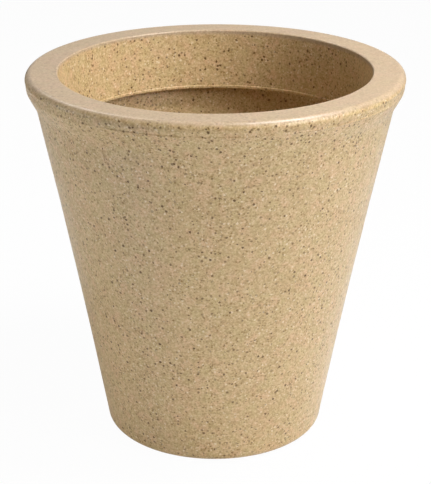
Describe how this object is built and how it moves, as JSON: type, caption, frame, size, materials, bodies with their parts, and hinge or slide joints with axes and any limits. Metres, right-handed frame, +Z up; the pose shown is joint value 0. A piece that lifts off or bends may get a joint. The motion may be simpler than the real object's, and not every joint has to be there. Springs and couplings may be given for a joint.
{
  "type": "cone planter",
  "caption": "Tapered round garden planter with a broad flat rim and an inner skirt, moulded in speckled stone-look plastic, with pull-out rubber drain plugs in its base.",
  "frame": {"origin": "on the floor under the middle of the base", "axes": "+Z up along the planter's axis; the picture looks along +Y, with +X to its right"},
  "size_m": [0.4498, 0.4498, 0.457],
  "materials": {
    "stone_plastic": "satin sandstone colour with fine dark brown and cream specks",
    "plug_rubber": "matt black"
  },
  "bodies": {
    "body": {"planter_shell": "stone_plastic"},
    "plug_1": {"drain_plug_1": "plug_rubber"},
    "plug_2": {"drain_plug_2": "plug_rubber"},
    "plug_3": {"drain_plug_3": "plug_rubber"},
    "plug_4": {"drain_plug_4": "plug_rubber"}
  },
  "joints": [
    {"name": "plug_1_pull", "type": "slide", "parent": "body", "child": "plug_1", "axis": [0, 0, -1], "range_m": [0, 0.03]},
    {"name": "plug_2_pull", "type": "slide", "parent": "body", "child": "plug_2", "axis": [0, 0, -1], "range_m": [0, 0.03]},
    {"name": "plug_3_pull", "type": "slide", "parent": "body", "child": "plug_3", "axis": [0, 0, -1], "range_m": [0, 0.03]},
    {"name": "plug_4_pull", "type": "slide", "parent": "body", "child": "plug_4", "axis": [0, 0, -1], "range_m": [0, 0.03]}
  ]
}
